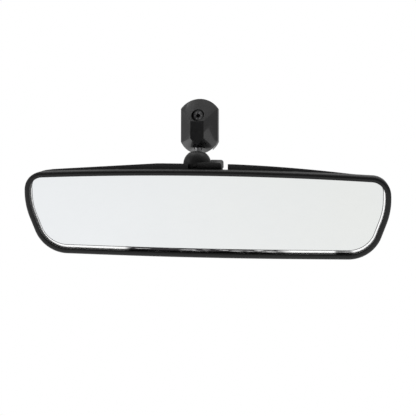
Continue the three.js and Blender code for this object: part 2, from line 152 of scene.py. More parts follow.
def colour(name, description, default):
    return FloatVectorProperty(
        name=name, description=description, default=default, subtype="COLOR", size=3, min=0, max=1
    )


class MirrorMountSizes(bpy.types.PropertyGroup):
    half_width: length("Half width", "Half the mount's width", 13.3)
    top_radius: length("Top radius", "Radius of the arc over the mount's top", 16.2)
    top_centre: length("Top centre", "Height of that arc's centre", 2.8)
    bottom_radius: length("Bottom radius", "Radius of the arc under the mount", 14.4)
    bottom_centre: length("Bottom centre", "Height of that arc's centre", -6.0)
    rim_depth: length("Rim depth", "Depth of the straight wall round the mount", 5.0)
    depth: length("Depth", "Depth from the back plane to the ridge", 15.5)
    edge: length("Edge", "Width of the rounding along the mount's edges", 0.55)


class MirrorCaseSizes(bpy.types.PropertyGroup):
    bezel_depth: length("Bezel depth", "Depth of the bezel's wall", 10.5)
    lip: length("Lip", "Width of the bezel's lip over the glass", 3.8)
    lip_depth: length("Lip depth", "Thickness of the lip", 2.2)
    wall: length("Bezel wall", "Thickness of the bezel's wall", 1.8)
    draft: length("Bezel draft", "How far the wall leans in towards the back", 1.0)
    housing_front: length("Housing front", "Where the rear housing begins", 10.8)
    housing_back: length("Housing back", "Where the rear housing ends", 25.0)
    housing_wall: length("Housing wall", "Thickness of the rear housing", 2.0)


class MirrorSocketSizes(bpy.types.PropertyGroup):
    ball_radius: length("Ball radius", "Radius of the ball", 6.35)
    neck_radius: length("Neck radius", "Radius of the stud's neck", 2.5)
    bore: length("Bore", "Radius of the socket's bore", 7.5)
    dome: length("Dome", "Outer radius of the socket", 9.8)
    mouth: FloatProperty(
        name="Mouth",
        description="Half angle of the socket's mouth",
        default=math.radians(45),
        subtype="ANGLE",
    )


class MirrorFinishes(bpy.types.PropertyGroup):
    mount_black: colour("Mount black", "Gloss black of the mount", (0.004, 0.004, 0.0045))
    bezel_black: colour("Bezel black", "Satin black of the bezel", (0.0045, 0.0045, 0.0048))
    housing_grey: colour("Housing grey", "Dark grey of the rear housing", (0.034, 0.034, 0.035))
    socket_black: colour("Socket black", "Satin black of the socket", (0.008, 0.008, 0.0083))
    silver: colour("Silver", "Tint of the silvered glass", (0.735, 0.752, 0.765))
    steel: colour("Steel", "Zinc-plated steel", (0.56, 0.56, 0.57))


class MirrorStage(bpy.types.PropertyGroup):
    azimuth: FloatProperty(
        name="Azimuth", description="Camera azimuth", default=math.radians(9.1), subtype="ANGLE"
    )
    elevation: FloatProperty(
        name="Elevation", description="Camera elevation", default=math.radians(-6), subtype="ANGLE"
    )
    distance: FloatProperty(
        name="Distance", description="Camera distance from the head", default=0.993, unit="LENGTH"
    )
    lens: FloatProperty(name="Lens", description="Focal length in millimetres", default=124.6)
    floor_drop: FloatProperty(
        name="Floor drop", description="How far the floor is below", default=0.35, unit="LENGTH"
    )


# Mesh tools -----------------------------------------------------------------------------------


def placed(name, bm, place=AT_ORIGIN):
    """Makes an object of a bmesh moved to its place, with its faces turned outwards."""
    bmesh.ops.transform(bm, matrix=place, verts=bm.verts)
    bmesh.ops.recalc_face_normals(bm, faces=bm.faces)
    mesh = bpy.data.meshes.new(name)
    bm.to_mesh(mesh)
    bm.free()
    made = bpy.data.objects.new(name, mesh)
    bpy.context.scene.collection.objects.link(made)
    return made


def apply_modifiers(made):
    """Replaces an object's mesh by what its modifiers make of it."""
    bpy.context.view_layer.update()
    seen = made.evaluated_get(bpy.context.evaluated_depsgraph_get())
    mesh = bpy.data.meshes.new_from_object(seen)
    made.modifiers.clear()
    made.data = mesh
    return made


def combine(made, operation, tools):
    """Joins tools to a solid, or cuts them from it, and removes them."""
    for tool in tools:
        step = made.modifiers.new(operation, "BOOLEAN")
        step.operation = operation
        step.solver = "EXACT"
        step.object = tool
    apply_modifiers(made)
    for tool in tools:
        bpy.data.objects.remove(tool)
    if not made.data.polygons:
        raise RuntimeError(f"{made.name} vanished while it was cut")
    return made


def join(made, *tools):
    return combine(made, "UNION", tools)


def cut(made, *tools):
    return combine(made, "DIFFERENCE", tools)


def keep(made, *tools):
    return combine(made, "INTERSECT", tools)


def smooth(made, angle=35):
    made.data.shade_smooth()
    made.data.set_sharp_from_angle(angle=math.radians(angle))
    return made


def round_edges(made, width, angle=30, segments=3):
    """Rounds every edge sharper than the angle and keeps the flats looking flat."""
    step = made.modifiers.new("rounding", "BEVEL")
    step.width = width
    step.segments = segments
    step.limit_method = "ANGLE"
    step.angle_limit = math.radians(angle)
    step.miter_outer = "MITER_ARC"
    step.use_clamp_overlap = True
    step.harden_normals = True
    made.data.shade_smooth()
    parts = made.modifiers.new("large_faces", "TRIANGULATE")
    parts.min_vertices = 5
    parts.keep_custom_normals = True
    return apply_modifiers(made)


def loft(rings, around=False, cap_ends=True):
    """A bmesh skin through closed rings of points. around joins the last ring to the first."""
    bm = bmesh.new()
    rows = [[bm.verts.new(point) for point in ring] for ring in rings]
    pairs = list(zip(rows, rows[1:]))
    if around:
        pairs.append((rows[-1], rows[0]))
    count = len(rows[0])
    for lower, upper in pairs:
        for i in range(count):
            j = (i + 1) % count
            bm.faces.new((lower[i], lower[j], upper[j], upper[i]))
    if cap_ends and not around:
        bm.faces.new(rows[0])
        bm.faces.new(rows[-1])
    return bm


def lathe(profile, place=AT_ORIGIN, steps=64, name="turned", radius_at=None):
    """A solid turned about its own Z axis from (radius, height) pairs that start and end at 0."""
    bm = bmesh.new()
    shape = radius_at or (lambda radius, height, angle: radius)
    rows = []
    for radius, height in profile:
        if radius < 1e-7:
            rows.append([bm.verts.new((0, 0, height))])
            continue
        row = []
        for i in range(steps):
            angle = 2 * math.pi * i / steps
            r = shape(radius, height, angle)
            row.append(bm.verts.new((r * math.cos(angle), r * math.sin(angle), height)))
        rows.append(row)
    for lower, upper in zip(rows, rows[1:]):
        for i in range(steps):
            j = (i + 1) % steps
            corners = [lower[i % len(lower)], lower[j % len(lower)]]
            corners += [upper[j % len(upper)], upper[i % len(upper)]]
            distinct = list(dict.fromkeys(corners))
            if len(distinct) > 2:
                bm.faces.new(distinct)
    return placed(name, bm, place)


def arc(centre, radius, start, end, steps):
    """Points on an arc in a plane, its angles in degrees."""
    points = []
    for i in range(steps + 1):
        angle = math.radians(start + (end - start) * i / steps)
        points.append((centre[0] + radius * math.cos(angle), centre[1] + radius * math.sin(angle)))
    return points


def slab(name, low, high, radius=0.0, place=AT_ORIGIN, segments=3):
    """A block between two corners in millimetres, its edges rounded by radius."""
    bm = bmesh.new()
    bmesh.ops.create_cube(bm, size=1)
    low, high = Vector(low) * MM, Vector(high) * MM
    for vertex in bm.verts:
        vertex.co = Vector(
            low[k] + (vertex.co[k] + 0.5) * (high[k] - low[k]) for k in range(3)
        )
    if radius:
        bmesh.ops.bevel(
            bm, geom=bm.edges[:], offset=radius * MM, segments=segments, profile=0.5, affect="EDGES"
        )
    return placed(name, bm, place)


def prism(name, points, start, end, place=AT_ORIGIN):
    """A straight prism along its own Z axis on a polygon of (x, y) points."""
    bm = loft([[(x, y, start) for x, y in points], [(x, y, end) for x, y in points]])
    return placed(name, bm, place)


def facing(origin, direction):
    """A placement at origin whose Z axis points along direction."""
    turn = Vector(direction).to_track_quat("Z", "Y").to_matrix().to_4x4()
    return Matrix.Translation(origin) @ turn


def bar(radius, start, end, place=AT_ORIGIN, steps=48, chamfer=0.0):
    """A round bar from one point to another, in millimetres, its ends chamfered."""
    start, end = Vector(start) * MM, Vector(end) * MM
    reach = (end - start).length
    r, c = radius * MM, chamfer * MM
    if c:
        profile = [(0, 0), (r - c, 0), (r, c), (r, reach - c), (r - c, reach), (0, reach)]
    else:
        profile = [(0, 0), (r, 0), (r, reach), (0, reach)]
    return lathe(profile, place @ facing(start, end - start), steps)


def ball(radius, centre, place=AT_ORIGIN, steps=72):
    half = steps // 2
    profile = [(0, -radius)]
    for i in range(1, half):
        angle = math.pi * i / half - math.pi / 2
        profile.append((radius * math.cos(angle), radius * math.sin(angle)))
    profile.append((0, radius))
    return lathe(profile, place @ Matrix.Translation(centre), steps)


def outline(corners, inset):
    """Points (x, z) in metres round a symmetric outline, each moved inwards.

    inset is a length in millimetres, or a function of the outward normal that gives one."""
    right = corners[1:-1]
    left = [(-x, z, radius, steps) for x, z, radius, steps in reversed(right)]
    ring = [corners[0], *right, corners[-1], *left]
    points = []
    for i, (x, z, radius, steps) in enumerate(ring):
        before = ring[i - 1]
        after = ring[(i + 1) % len(ring)]
        arriving = Vector((x - before[0], z - before[1])).normalized()
        leaving = Vector((after[0] - x, after[1] - z)).normalized()
        inwards = Vector((-arriving.y - leaving.y, arriving.x + leaving.x))
        centre = Vector((x, z)) + inwards * radius / (1 + arriving.dot(leaving))
        start = math.atan2(-arriving.x, arriving.y)
        turn = arriving.angle_signed(leaving)
        for k in range(steps + 1):
            angle = start - turn * k / steps
            normal = Vector((math.cos(angle), math.sin(angle)))
            width = inset(normal) if callable(inset) else inset
            points.append((centre + normal * (radius - width)) * MM)
    return points


def ring_at(corners, inset, depth):
    return [Vector((point.x, depth * MM, point.y)) for point in outline(corners, inset)]


# Shader tools ---------------------------------------------------------------------------------


class Term:
    """A shader socket that takes part in Python sums, each of which adds a Math node."""

    def __init__(self, finish, socket):
        self.finish = finish
        self.socket = socket

    def math(self, operation, *values):
        inputs = dict(enumerate(values))
        return self.finish.node("ShaderNodeMath", {"operation": operation}, inputs)

    def __add__(self, other):
        return self.math("ADD", self, other)

    def __radd__(self, other):
        return self.math("ADD", other, self)

    def __sub__(self, other):
        return self.math("SUBTRACT", self, other)

    def __rsub__(self, other):
        return self.math("SUBTRACT", other, self)

    def __mul__(self, other):
        return self.math("MULTIPLY", self, other)

    def smooth_step(self, low, high):
        """0 below low, 1 above high and a smooth change between them."""
        return self.finish.node(
            "ShaderNodeMapRange",
            {"interpolation_type": "SMOOTHSTEP"},
            {"Value": self, "From Min": low, "From Max": high},
        )


class Tree:
    """The node tree of a material or a world under construction."""

    def __init__(self, owner):
        owner.use_nodes = True
        self.tree = owner.node_tree
        self.tree.nodes.clear()

    def feed(self, socket, value):
        if isinstance(value, Term):
            self.tree.links.new(value.socket, socket)
        elif socket.type == "RGBA" and len(value) == 3:
            socket.default_value = (*value, 1)
        else:
            socket.default_value = value

    def node(self, kind, settings=None, values=None, output=0):
        """Adds a node: its settings first, then the values or links of its sockets."""
        made = self.tree.nodes.new(kind)
        for name, value in (settings or {}).items():
            setattr(made, name, value)
        for name, value in (values or {}).items():
            self.feed(made.inputs[name], value)
        return None if output is None else Term(self, made.outputs[output])

    def part(self, vector, axis):
        return self.node("ShaderNodeSeparateXYZ", None, {"Vector": vector}, axis)

    def mix(self, factor, low, high):
        """A colour between low and high."""
        made = self.tree.nodes.new("ShaderNodeMix")
        made.data_type = "RGBA"
        self.feed(made.inputs[0], factor)
        self.feed(made.inputs[6], low)
        self.feed(made.inputs[7], high)
        return Term(self, made.outputs[2])


class Finish(Tree):
    """A procedural material under construction, with its Principled shader."""

    def __init__(self, name, **fixed):
        self.material = bpy.data.materials.new(name)
        super().__init__(self.material)
        self.shader = self.tree.nodes.new("ShaderNodeBsdfPrincipled")
        end = self.tree.nodes.new("ShaderNodeOutputMaterial")
        self.tree.links.new(self.shader.outputs["BSDF"], end.inputs["Surface"])
        for socket, value in fixed.items():
            self.feed(self.shader.inputs[socket.replace("_", " ")], value)

    def place(self):
        """Where a point of the piece is in the shared frame, in metres."""
        return self.node("ShaderNodeTexCoord", output="Object")

    def place_in(self, matrix):
        """The same point seen from another frame."""
        values = {
            "Vector": self.place(),
            "Location": matrix.translation,
            "Rotation": matrix.to_euler(),
        }
        return self.node("ShaderNodeMapping", {"vector_type": "TEXTURE"}, values)

    def stretched(self, scale, place=None):
        """A place scaled along each axis."""
        values = {"Vector": place or self.place(), "Scale": scale}
        return self.node("ShaderNodeMapping", {"vector_type": "POINT"}, values)

    def noise(self, scale, detail=3.0, rough=0.5, vector=None):
        values = {"Scale": scale, "Detail": detail, "Roughness": rough}
        values["Vector"] = vector or self.place()
        return self.node("ShaderNodeTexNoise", None, values)

    def cells(self, scale, vector=None):
        values = {"Scale": scale, "Vector": vector or self.place()}
        return self.node("ShaderNodeTexVoronoi", {"feature": "F1"}, values)

    def bump(self, height, distance, strength=1.0, normal=None):
        values = {"Height": height, "Distance": distance, "Strength": strength}
        if normal:
            values["Normal"] = normal
        return self.node("ShaderNodeBump", None, values)

    def surface(self, **sockets):
        for socket, value in sockets.items():
            self.feed(self.shader.inputs[socket.replace("_", " ")], value)
        return self.material


def shade(colour, factor):
    return tuple(min(1, part * factor) for part in colour)


def moulded_plastic(name, colour, rough, grain, relief, dust=0.12):
    """Moulded plastic: a fine grain, soft cloudiness in the gloss and a trace of dust."""
    finish = Finish(name)
    cloud = finish.noise(35, 4)
    speck = finish.noise(1 / (grain * MM), 2, 0.6)
    pits = finish.cells(0.6 / (grain * MM))
    height = speck * 0.6 + pits * 0.4
    dusty = finish.noise(900, 5, 0.7).smooth_step(0.62, 0.8) * dust
    tint = finish.mix(cloud.smooth_step(0.3, 0.7), shade(colour, 0.85), shade(colour, 1.15))
    return finish.surface(
        Base_Color=finish.mix(dusty, tint, (0.25, 0.25, 0.25)),
        Roughness=rough - 0.06 + cloud * 0.1 + speck * 0.06,
        Normal=finish.bump(height, relief * MM),
        Specular_IOR_Level=0.3,
    )


def gloss_paint(colour):
    """Gloss black paint over a die casting, with turning marks round the screw recess."""
    finish = Finish("gloss_black_paint", Coat_Weight=0.6, Coat_Roughness=0.08)
    place = finish.place()
    x = finish.part(place, "X")
    z = finish.part(place, "Z") - 6 * MM
    away = (x * x + z * z).math("SQRT", x * x + z * z, 0.0)
    rings = (away * 5200).math("SINE", away * 5200, 0.0)
    upper = z.smooth_step(-4 * MM, 1 * MM)
    peel = finish.noise(420, 3)
    fine = finish.noise(2600, 3, 0.6)
    cloud = finish.noise(60, 4)
    height = peel * 0.5 + fine * 0.2 + rings * upper * 0.12
    return finish.surface(
        Base_Color=finish.mix(
            cloud.smooth_step(0.35, 0.7), shade(colour, 0.8), shade(colour, 1.5)
        ),
        Roughness=0.2 + cloud * 0.12 + fine * 0.08 + upper * 0.04,
        Normal=finish.bump(height, 0.02 * MM),
    )


def plated_steel(name, colour, axis="Z", rough=0.28):
    """Plated steel with fine turning marks along one axis and cloudy plating."""
    finish = Finish(name, Metallic=1.0)
    scale = {"X": (9000, 300, 300), "Y": (300, 9000, 300), "Z": (300, 300, 9000)}[axis]
    marks = finish.noise(1, 3, 0.6, finish.stretched(scale))
    cloud = finish.noise(220, 4)
    tint = finish.mix(cloud.smooth_step(0.3, 0.75), shade(colour, 0.7), shade(colour, 1.2))
    return finish.surface(
        Base_Color=tint,
        Roughness=rough - 0.08 + marks * 0.14 + cloud * 0.08,
        Normal=finish.bump(marks, 0.01 * MM),
    )


def silvered_glass(silver):
    """Silvered glass: an even mirror with a painted reflection in its colour: faint clouding, and a
    drift warmer and darker from left to right.
    """
    finish = Finish("silvered_glass", Metallic=1.0)
    place = finish.place_in(HEAD)
    # Painted reflection: the silver warms and darkens from left to right and dims in faint blotches, as
    # the room reflected in it does.
    across = finish.part(place, "X").smooth_step(-125 * MM, 125 * MM)
    reflection_blotch = finish.noise(16, 2, 0.5).smooth_step(0.3, 0.75)
    reflection_drift = finish.mix(across, silver, (silver[0] * 0.975, silver[1] * 0.97, silver[2] * 0.935))
    tint = finish.mix(reflection_blotch * 0.5, reflection_drift, shade(silver, 0.965))
    return finish.surface(Base_Color=tint, Roughness=0.025 + reflection_blotch * 0.01)


def polished_edge():
    """The glass's ground edge: bright, with a painted reflection along the bottom: a dark, streaked
    stretch.
    """
    finish = Finish("polished_glass_edge", Metallic=0.85)
    place = finish.place_in(HEAD)
    x = finish.part(place, "X")
    z = finish.part(place, "Z")
    # Painted reflection: a dark, streaked stretch across the bottom edge's middle and near its right
    # corner.
    low = 1 - z.smooth_step(-24.8 * MM, -24 * MM)
    middle = x.smooth_step(-60 * MM, -52 * MM) * (1 - x.smooth_step(50 * MM, 62 * MM))
    corner = x.smooth_step(88 * MM, 92 * MM) * (1 - x.smooth_step(100 * MM, 104 * MM))
    reflection_stretch = finish.stretched((70, 900, 1500), place)
    reflection_streak = finish.noise(1, 4, 0.65, reflection_stretch).smooth_step(0.52, 0.62)
    dark = low * (middle + corner) * (1 - reflection_streak * 0.6)
    ground = finish.noise(700, 3)
    tint = finish.mix(dark.smooth_step(0.0, 1.0), (0.97, 0.97, 0.97), (0.03, 0.028, 0.03))
    return finish.surface(
        Base_Color=tint,
        Roughness=0.12 + ground * 0.12,
        Normal=finish.bump(ground, 0.01 * MM),
    )


def edge_line():
    """The dark line where the silvering ends."""
    finish = Finish("silvering_edge", Metallic=0.4)
    run = finish.noise(260, 3).smooth_step(0.35, 0.7)
    return finish.surface(
        Base_Color=finish.mix(run, (0.05, 0.05, 0.052), (0.16, 0.16, 0.165)),
        Roughness=0.3 + run * 0.1,
    )


def natural_nylon():
    finish = Finish("natural_nylon", Subsurface_Weight=0.1)
    cloud = finish.noise(300, 4)
    return finish.surface(
        Base_Color=finish.mix(cloud, (0.62, 0.58, 0.49), (0.72, 0.69, 0.6)),
        Roughness=0.42 + cloud * 0.12,
        Normal=finish.bump(finish.noise(2500, 2), 0.01 * MM),
    )


def closed_cell_foam():
    finish = Finish("closed_cell_foam")
    cells = finish.cells(1600)
    return finish.surface(
        Base_Color=finish.mix(cells, (0.018, 0.018, 0.019), (0.05, 0.05, 0.052)),
        Roughness=0.8 + cells * 0.15,
        Normal=finish.bump(cells, 0.15 * MM),
    )


def backing_film():
    finish = Finish("mirror_backing", Metallic=0.3)
    cloud = finish.noise(120, 4)
    return finish.surface(
        Base_Color=finish.mix(cloud, (0.3, 0.31, 0.32), (0.42, 0.43, 0.44)),
        Roughness=0.35 + cloud * 0.2,
    )


# Pieces ---------------------------------------------------------------------------------------


def settle(made, body, slot, materials, *nodes):
    """Gives a finished piece its materials and its body, and hides the nodes it stands for. The slot is
    not used.
    """
    kinds = [face.material_index for face in made.data.polygons]
    made.data.materials.clear()
    for material in materials:
        made.data.materials.append(material)
    made.data.polygons.foreach_set("material_index", [min(kind, len(materials) - 1) for kind in kinds])
    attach(made, body)
    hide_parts(*nodes)
    return made


class MIRROR_OT_mount(bpy.types.Operator):
    """Build the windscreen mount's body"""

    bl_idname = "mirror.mount"
    bl_label = "Windscreen mount"

    def outline(self, sizes, steps=28):
        top = math.degrees(math.acos(sizes.half_width / sizes.top_radius))
        bottom = math.degrees(math.acos(sizes.half_width / sizes.bottom_radius))
        points = arc((0, sizes.top_centre), sizes.top_radius, top, 180 - top, steps)
        points += arc(
            (0, sizes.bottom_centre), sizes.bottom_radius, 180 + bottom, 360 - bottom, steps
        )
        return points

    def execute(self, context):
        sizes = context.scene.mirror_mount
        finishes = context.scene.mirror_finishes
        bm = bmesh.new()
        for depth in (0, -sizes.rim_depth):
            for x, z in self.outline(sizes):
                bm.verts.new((x, depth, z))
        for x, z in RIDGE:
            bm.verts.new((x * MM, -sizes.depth, z * MM))
        hull = bmesh.ops.convex_hull(bm, input=bm.verts)
        loose = [item for item in hull["geom_interior"] if isinstance(item, bmesh.types.BMVert)]
        bmesh.ops.delete(bm, geom=loose, context="VERTS")
        bmesh.ops.dissolve_limit(
            bm, angle_limit=math.radians(0.4), verts=bm.verts, edges=bm.edges
        )
        body = placed("mount_casting", bm)
        low, high = POCKET_ENDS
        pocket = prism("pocket", [(x * MM, y * MM) for x, y in POCKET], low * MM, high * MM)
        neck = context.scene.mirror_socket.neck_radius + 0.3 * MM
        seat = 20.3 * MM
        cut(
            body,
            bar(RECESS["radius"], (0, -17, SCREW_Z), (0, RECESS["floor"], SCREW_Z), steps=72),
            bar(
                SCREW_HOLE["radius"],
                (0, SCREW_HOLE["from"], SCREW_Z),
                (0, SCREW_HOLE["to"], SCREW_Z),
                steps=40,
            ),
            lathe([(0, 0), (neck, 0), (neck, seat), (0, seat)], STUD),
        )
        round_edges(body, sizes.edge, 24, 4)
        cut(body, pocket)
        settle(body, "mount", "mount_paint", [gloss_paint(finishes.mount_black)], "mount_body")
        return {"FINISHED"}


def cross_recess(radius, width, depth, place):
    """Two crossed slots with sloping ends, as a driver's cross recess has."""
    arms = []
    for turn in (0, 90):
        spin = place @ Matrix.Rotation(math.radians(turn), 4, "Z")
        bm = bmesh.new()
        arm = ((-radius, -width), (radius, -width), (radius, width), (-radius, width))
        top = [bm.verts.new((x, y, 0.3 * MM)) for x, y in arm]
        low = [bm.verts.new((x * 0.55, y * 0.8, -depth)) for x, y in arm]
        bm.faces.new(top)
        bm.faces.new(low)
        for i in range(4):
            j = (i + 1) % 4
            bm.faces.new((top[i], top[j], low[j], low[i]))
        arms.append(placed("cross_arm", bm, spin))
    return arms


def six_lobe_recess(radius, depth, place, steps=72):
    """A six-lobed driver recess."""
    points = []
    for i in range(steps):
        angle = 2 * math.pi * i / steps
        r = radius * (0.86 + 0.14 * math.cos(6 * angle))
        points.append((r * math.cos(angle), r * math.sin(angle)))
    return prism("lobes", points, -depth, 0.5 * MM, place)


def pan_screw(name, head, head_height, shank, reach, place, crown=0.35):
    """A pan-head screw along its own Z axis: its head is on top and its shank below."""
    r, h = head * MM, head_height * MM
    edge = min(r, h) * 0.4
    profile = [(0, -reach * MM), (shank * 0.6 * MM, -reach * MM)]
    profile += [(shank * MM, -(reach - shank * 0.6) * MM), (shank * MM, 0)]
    profile += [(r - 0.1 * MM, 0), (r, 0.1 * MM)]
    profile += [
        (r - edge + edge * math.cos(angle), h - edge + edge * math.sin(angle))
        for angle in (math.radians(a) for a in (0, 22, 45, 68, 85))
    ]
    profile += [(r * 0.45, h + crown * 0.3 * MM), (0, h + crown * 0.35 * MM)]
    return lathe(profile, place, 64, name)


class MIRROR_OT_set_screw(bpy.types.Operator):
    """Build the set screw in the mount's recess"""

    bl_idname = "mirror.set_screw"
    bl_label = "Set screw"

    def execute(self, context):
        finishes = context.scene.mirror_finishes
        place = facing(Vector((0, -7.9, SCREW_Z)) * MM, (0, -1, 0))
        screw = pan_screw("set_screw", 4.0, 2.2, 2.0, 2.9, place)
        cut(screw, six_lobe_recess(1.95 * MM, 1.3 * MM, place @ Matrix.Translation((0, 0, 2.3 * MM))))
        round_edges(screw, 0.12 * MM, 40, 2)
        # Painted shade: the set screw's steel is darkened to a third for the shade of the recess it sits
        # in.
        steel = plated_steel("recess_shaded_screw", shade(finishes.steel, 0.35), "Y", 0.3)
        settle(screw, "mount", "screw_steel", [steel], "button_screw")
        return {"FINISHED"}


class MIRROR_OT_ball_stud(bpy.types.Operator):
    """Build the ball stud with its fluted neck"""

    bl_idname = "mirror.ball_stud"
    bl_label = "Ball stud"

    def execute(self, context):
        sizes = context.scene.mirror_socket
        finishes = context.scene.mirror_finishes
        r, neck = sizes.ball_radius, sizes.neck_radius
        blend_start = math.degrees(math.asin(neck * 1.12 / r))
        steps = 40
        profile = [(0, -r)]
        for i in range(1, steps + 1):
            angle = math.radians(180 - (180 - blend_start) * i / steps)
            profile.append((r * math.sin(angle), r * math.cos(angle)))
        top = profile[-1][1]
        profile += [(neck * 1.02, top + 0.35 * MM), (neck * 0.98, top + 0.8 * MM)]
        flute_low, flute_high = top + 1.0 * MM, top + 6.5 * MM
        for share in (0, 0.08, 0.2, 0.5, 0.8, 0.92, 1):
            profile.append((neck * 0.98, flute_low + (flute_high - flute_low) * share))
        profile += [(neck, 13.5 * MM), (neck, 19.6 * MM), (neck - 0.4 * MM, 20 * MM), (0, 20 * MM)]

        def fluted(radius, height, angle):
            if not flute_low < height < flute_high:
                return radius
            share = (height - flute_low) / (flute_high - flute_low)
            fade = min(1, share * 6, (1 - share) * 6)
            return radius * (1 - 0.055 * fade * (1 - math.cos(8 * angle)) / 2)

        stud = smooth(lathe(profile, STUD, 96, "ball_stud_turned", fluted), 40)
        steel = plated_steel("turned_steel", shade(finishes.steel, 0.5), "Z", 0.25)
        settle(stud, "mount", "stud_steel", [steel], "ball_stud")
        return {"FINISHED"}


def socket_mouth(sizes):
    """The cone that opens the socket for the stud's neck."""
    reach = 16 * MM
    top = reach * math.tan(sizes.mouth)
    return lathe([(0, 0), (top, reach), (0, reach)], STUD, 96)


def clamp_screw_holes():
    z = CLAMP_SCREW_Z
    return [bar(CLAMP_HOLE, (x, 12, z), (x, FAR, z), HEAD, 32) for x in CLAMP_SCREWS.values()]


def bar_across(radius, left, right, at, steps=48, chamfer=0.0):
    """A round bar from left to right in the head, its axis at (y, z)."""
    return bar(radius, (left, *at), (right, *at), HEAD, steps, chamfer)


def socket_block(front, back):
    return slab("block", (BLOCK_LEFT, front, BLOCK_LOW), (BLOCK_RIGHT, back, BLOCK_TOP), 0.0, HEAD)


class MIRROR_OT_socket(bpy.types.Operator):
    """Build the socket bracket, its clamp and the screws between them"""

    bl_idname = "mirror.socket"
    bl_label = "Ball socket"

    def half_dome(self, sizes, low, high):
        dome = ball(sizes.dome, BALL_CENTRE, steps=88)
        return keep(dome, slab("half", (-FAR, low, 0), (FAR, high, 60), 0, HEAD))

    def bracket(self, context, sizes):
        body = self.half_dome(sizes, 0, SPLIT[0])
        body.name = "socket_front"
        side, hinge_z = PLATE_SIDE, HINGE_AT[1]
        outermost = EARS["ear_left"][0], EARS["ear_right"][1]
        ears = [
            slab(name, (low, EAR["front"], EAR["bottom"]), (high, EAR["back"], EAR["top"]), 0.0, HEAD)
            for name, (low, high) in EARS.items()
        ]
        join(
            body,
            socket_block(14, SPLIT[0]),
            slab("plate", (-side, PLATE_FRONT, hinge_z), (side, PLATE_BACK, 12.5), 0.0, HEAD),
            slab("riser", (outermost[0], PLATE_FRONT, 11), (outermost[1], PLATE_BACK, 20), 0.0, HEAD),
            bar_across(KNUCKLE, -side, side, HINGE_AT),
            *ears,
        )
        cut(
            body,
            ball(sizes.bore, BALL_CENTRE),
            socket_mouth(sizes),
            bar_across(HINGE_BORE, -20, 20, HINGE_AT, 32),
            bar_across(LEVER_BORE, 2, 15, LEVER_AT, 32),
            bar(1.3, (8, 13, 12.5), (8, 18, 12.5), HEAD, 32),
            *clamp_screw_holes(),
        )
        return round_edges(body, 0.35 * MM, 32, 3)

    def clamp(self, context, sizes):
        body = self.half_dome(sizes, SPLIT[1], 60)
        body.name = "socket_rear"
        join(body, socket_block(SPLIT[1], BLOCK_BACK))
        cut(body, ball(sizes.bore, BALL_CENTRE), socket_mouth(sizes), *clamp_screw_holes())
        return round_edges(body, 0.5 * MM, 32, 3)

    def execute(self, context):
        sizes = context.scene.mirror_socket
        finishes = context.scene.mirror_finishes
        black = moulded_plastic("socket_plastic", finishes.socket_black, 0.42, 0.5, 0.02)
        settle(self.bracket(context, sizes), "socket", "socket_plastic", [black], "socket_bracket")
        settle(self.clamp(context, sizes), "socket", "socket_plastic", [black], "socket_clamp")
        steel = plated_steel("clamp_screw_steel", finishes.steel, "Y")
        head_height = 2.3
        for side, x in CLAMP_SCREWS.items():
            place = HEAD @ facing(Vector((x, BLOCK_BACK + 0.3, CLAMP_SCREW_Z)) * MM, (0, 1, 0))
            screw = pan_screw(f"clamp_screw_{side}_pan", 3.2, head_height, 1.6, 13, place)
            top = place @ Matrix.Translation((0, 0, head_height * MM))
            cut(screw, *cross_recess(1.9 * MM, 0.35 * MM, 1.4 * MM, top))
            smooth(screw, 30)
            settle(screw, "socket", "screw_steel", [steel], f"clamp_screw_{side}")
        return {"FINISHED"}


class MIRROR_OT_lever(bpy.types.Operator):
    """Build the day/night lever and its pin"""

    bl_idname = "mirror.lever"
    bl_label = "Day/night lever"

    def execute(self, context):
        sizes = context.scene.mirror_socket
        finishes = context.scene.mirror_finishes
        profile = [(-10.8, 29), (10.8, 29)]
        profile += arc((9.0, 32.6), 1.8, 0, 90, 8)
        profile += arc((-10.0, 33.6), 0.8, 90, 180, 4)
        rings = [[Vector((x, y, z)) * MM for x, z in profile] for y in (TAB_FRONT, TAB_BACK)]
        tab = placed("lever_tab", loft(rings), HEAD)
        for share in (0, 0.5, 1):
            turn = Matrix.Rotation(LEVER_FLIP * share, 3, "X")
            pivot = Vector((0, *LEVER_AT)) * MM
            centre = turn @ (BALL_IN_HEAD - pivot) + pivot
            cut(tab, ball(sizes.dome + DOME_CLEARANCE * MM, centre, HEAD))
        arm = join(
            slab("arm", (5.2, 13.25, 24.5), (10.75, 18.35, 29.6), 0.0, HEAD),
            bar_across(3.0, 5.25, 10.95, LEVER_AT),
            slab("cam", (6, 11.9, 22.6), (10, 14.5, 26), 0.0, HEAD),
        )
        cut(arm, bar_across(LEVER_BORE, 4, 12, LEVER_AT, 32))
        join(tab, arm)
        round_edges(tab, 0.3 * MM, 30, 3)
        black = moulded_plastic("lever_plastic", shade(finishes.socket_black, 0.8), 0.34, 0.6, 0.015)
        settle(tab, "lever", "lever_plastic", [black], "day_night_lever")
        pin = bar_across(1.25, 3, 14.5, LEVER_AT, 40, 0.25)
        pin.name = "lever_pin_turned"
        smooth(pin)
        steel = plated_steel("pin_steel", finishes.steel, "X")
        settle(pin, "socket", "screw_steel", [steel], "lever_pin")
        return {"FINISHED"}


